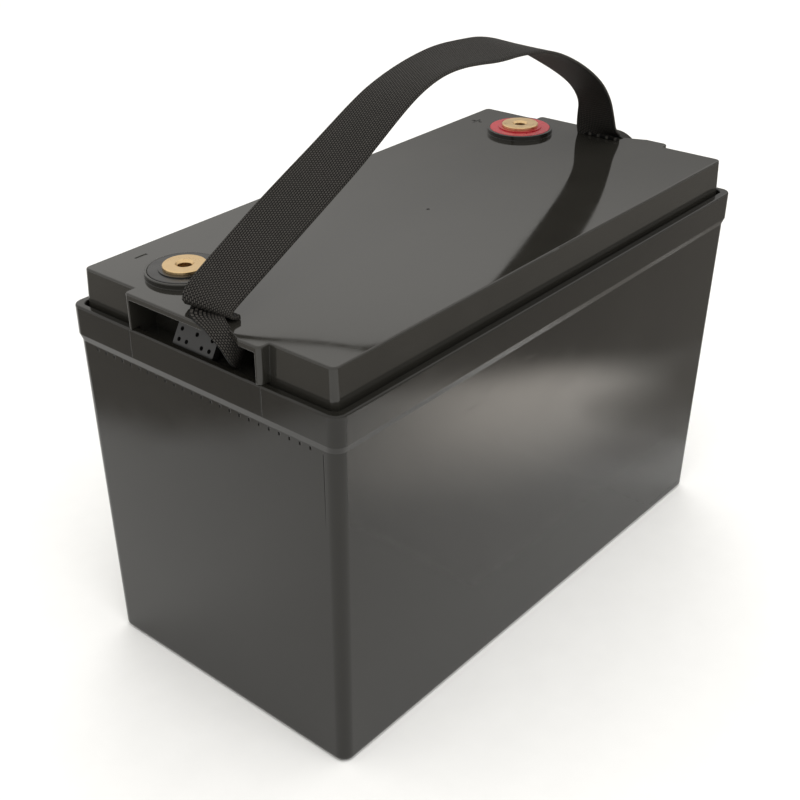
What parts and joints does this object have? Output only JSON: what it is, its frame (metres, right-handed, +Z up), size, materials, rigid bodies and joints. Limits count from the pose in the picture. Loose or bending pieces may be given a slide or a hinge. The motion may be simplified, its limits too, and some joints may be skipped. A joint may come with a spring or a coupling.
{
  "type": "battery pack",
  "caption": "Rectangular glossy black battery with a stepped lid, two round threaded brass terminals and a webbing carry handle that runs over the lid.",
  "frame": {"origin": "centre of the underside of the case", "axes": "+X along the long side towards the positive terminal, +Y towards the long side both terminals are near, +Z up"},
  "size_m": [0.33, 0.172, 0.2899],
  "materials": {
    "abs_black": "glossy moulded ABS",
    "webbing": "woven polypropylene webbing",
    "stop_plastic": "moulded nylon, satin",
    "brass": "turned and lightly satin",
    "ring_red": "glossy red moulded ring",
    "ring_black": "glossy black moulded ring",
    "rubber_black": "soft rubber",
    "sealant": "cured sealant bead",
    "steel_zinc": "zinc plated",
    "cell_can": "drawn aluminium can",
    "glass_epoxy": "glass epoxy sheet",
    "band_strap": "tensioned polyester strapping",
    "foam": "closed-cell foam",
    "copper_nickel": "nickel-plated copper",
    "pcb": "green solder mask",
    "alloy_plate": "machined aluminium plate",
    "chip_black": "moulded epoxy",
    "connector_white": "moulded nylon",
    "lead_red": "silicone insulation",
    "lead_black": "silicone insulation"
  },
  "bodies": {
    "root": {"case": "abs_black", "lid": "abs_black", "lid_seal": "sealant", "terminal_negative": "brass", "terminal_positive": "brass", "terminal_ring_negative": "ring_black", "terminal_ring_positive": "ring_red", "terminal_o_rings": "rubber_black", "terminal_washers": "steel_zinc", "terminal_nuts": "steel_zinc", "cell_1": "cell_can", "cell_2": "cell_can", "cell_3": "cell_can", "cell_4": "cell_can", "cell_spacers": "glass_epoxy", "end_plates": "glass_epoxy", "compression_bands": "band_strap", "base_foam": "foam", "foam_block_near": "foam", "foam_block_far": "foam", "busbars": "copper_nickel", "busbar_nuts": "steel_zinc", "insulation_board": "glass_epoxy", "board_heat_plate": "alloy_plate", "board_standoffs": "steel_zinc", "power_transistors": "chip_black", "protection_board": "pcb", "board_screws": "steel_zinc", "balance_socket": "connector_white", "balance_plug": "connector_white", "cable_lugs": "copper_nickel", "lead_positive": "lead_red", "lead_cell_negative": "lead_black", "lead_output_negative": "lead_black", "balance_wires": "lead_red", "temperature_sensor": "rubber_black"},
    "feet": {"strap_tail_near": "webbing", "strap_tail_far": "webbing"},
    "arch": {"handle_arch": "webbing"},
    "stop_near": {"strap_stop_near": "stop_plastic"},
    "stop_far": {"strap_stop_far": "stop_plastic"}
  },
  "joints": [
    {"name": "handle_lift", "type": "slide", "parent": "root", "child": "feet", "axis": [0, 0, 1], "range_m": [0, 0.008]},
    {"name": "handle_swing", "type": "hinge", "parent": "feet", "child": "arch", "pos_m": [0, -0.003, 0.214], "axis": [1, 0, 0], "range_deg": [-50, 50], "stiffness_Nm_per_rad": 0.03},
    {"name": "stop_near_turn", "type": "hinge", "parent": "feet", "child": "stop_near", "pos_m": [-0.1548, 0.005, 0.2006], "axis": [0, 1, 0], "range_deg": [0, 59]},
    {"name": "stop_far_turn", "type": "hinge", "parent": "feet", "child": "stop_far", "pos_m": [0.1548, 0.005, 0.2006], "axis": [0, -1, 0], "range_deg": [0, 59]}
  ],
  "couplings": [
    {"joint": "stop_near_turn", "follows": "handle_lift", "rad_per_m": 128.72},
    {"joint": "stop_far_turn", "follows": "handle_lift", "rad_per_m": 128.72}
  ]
}
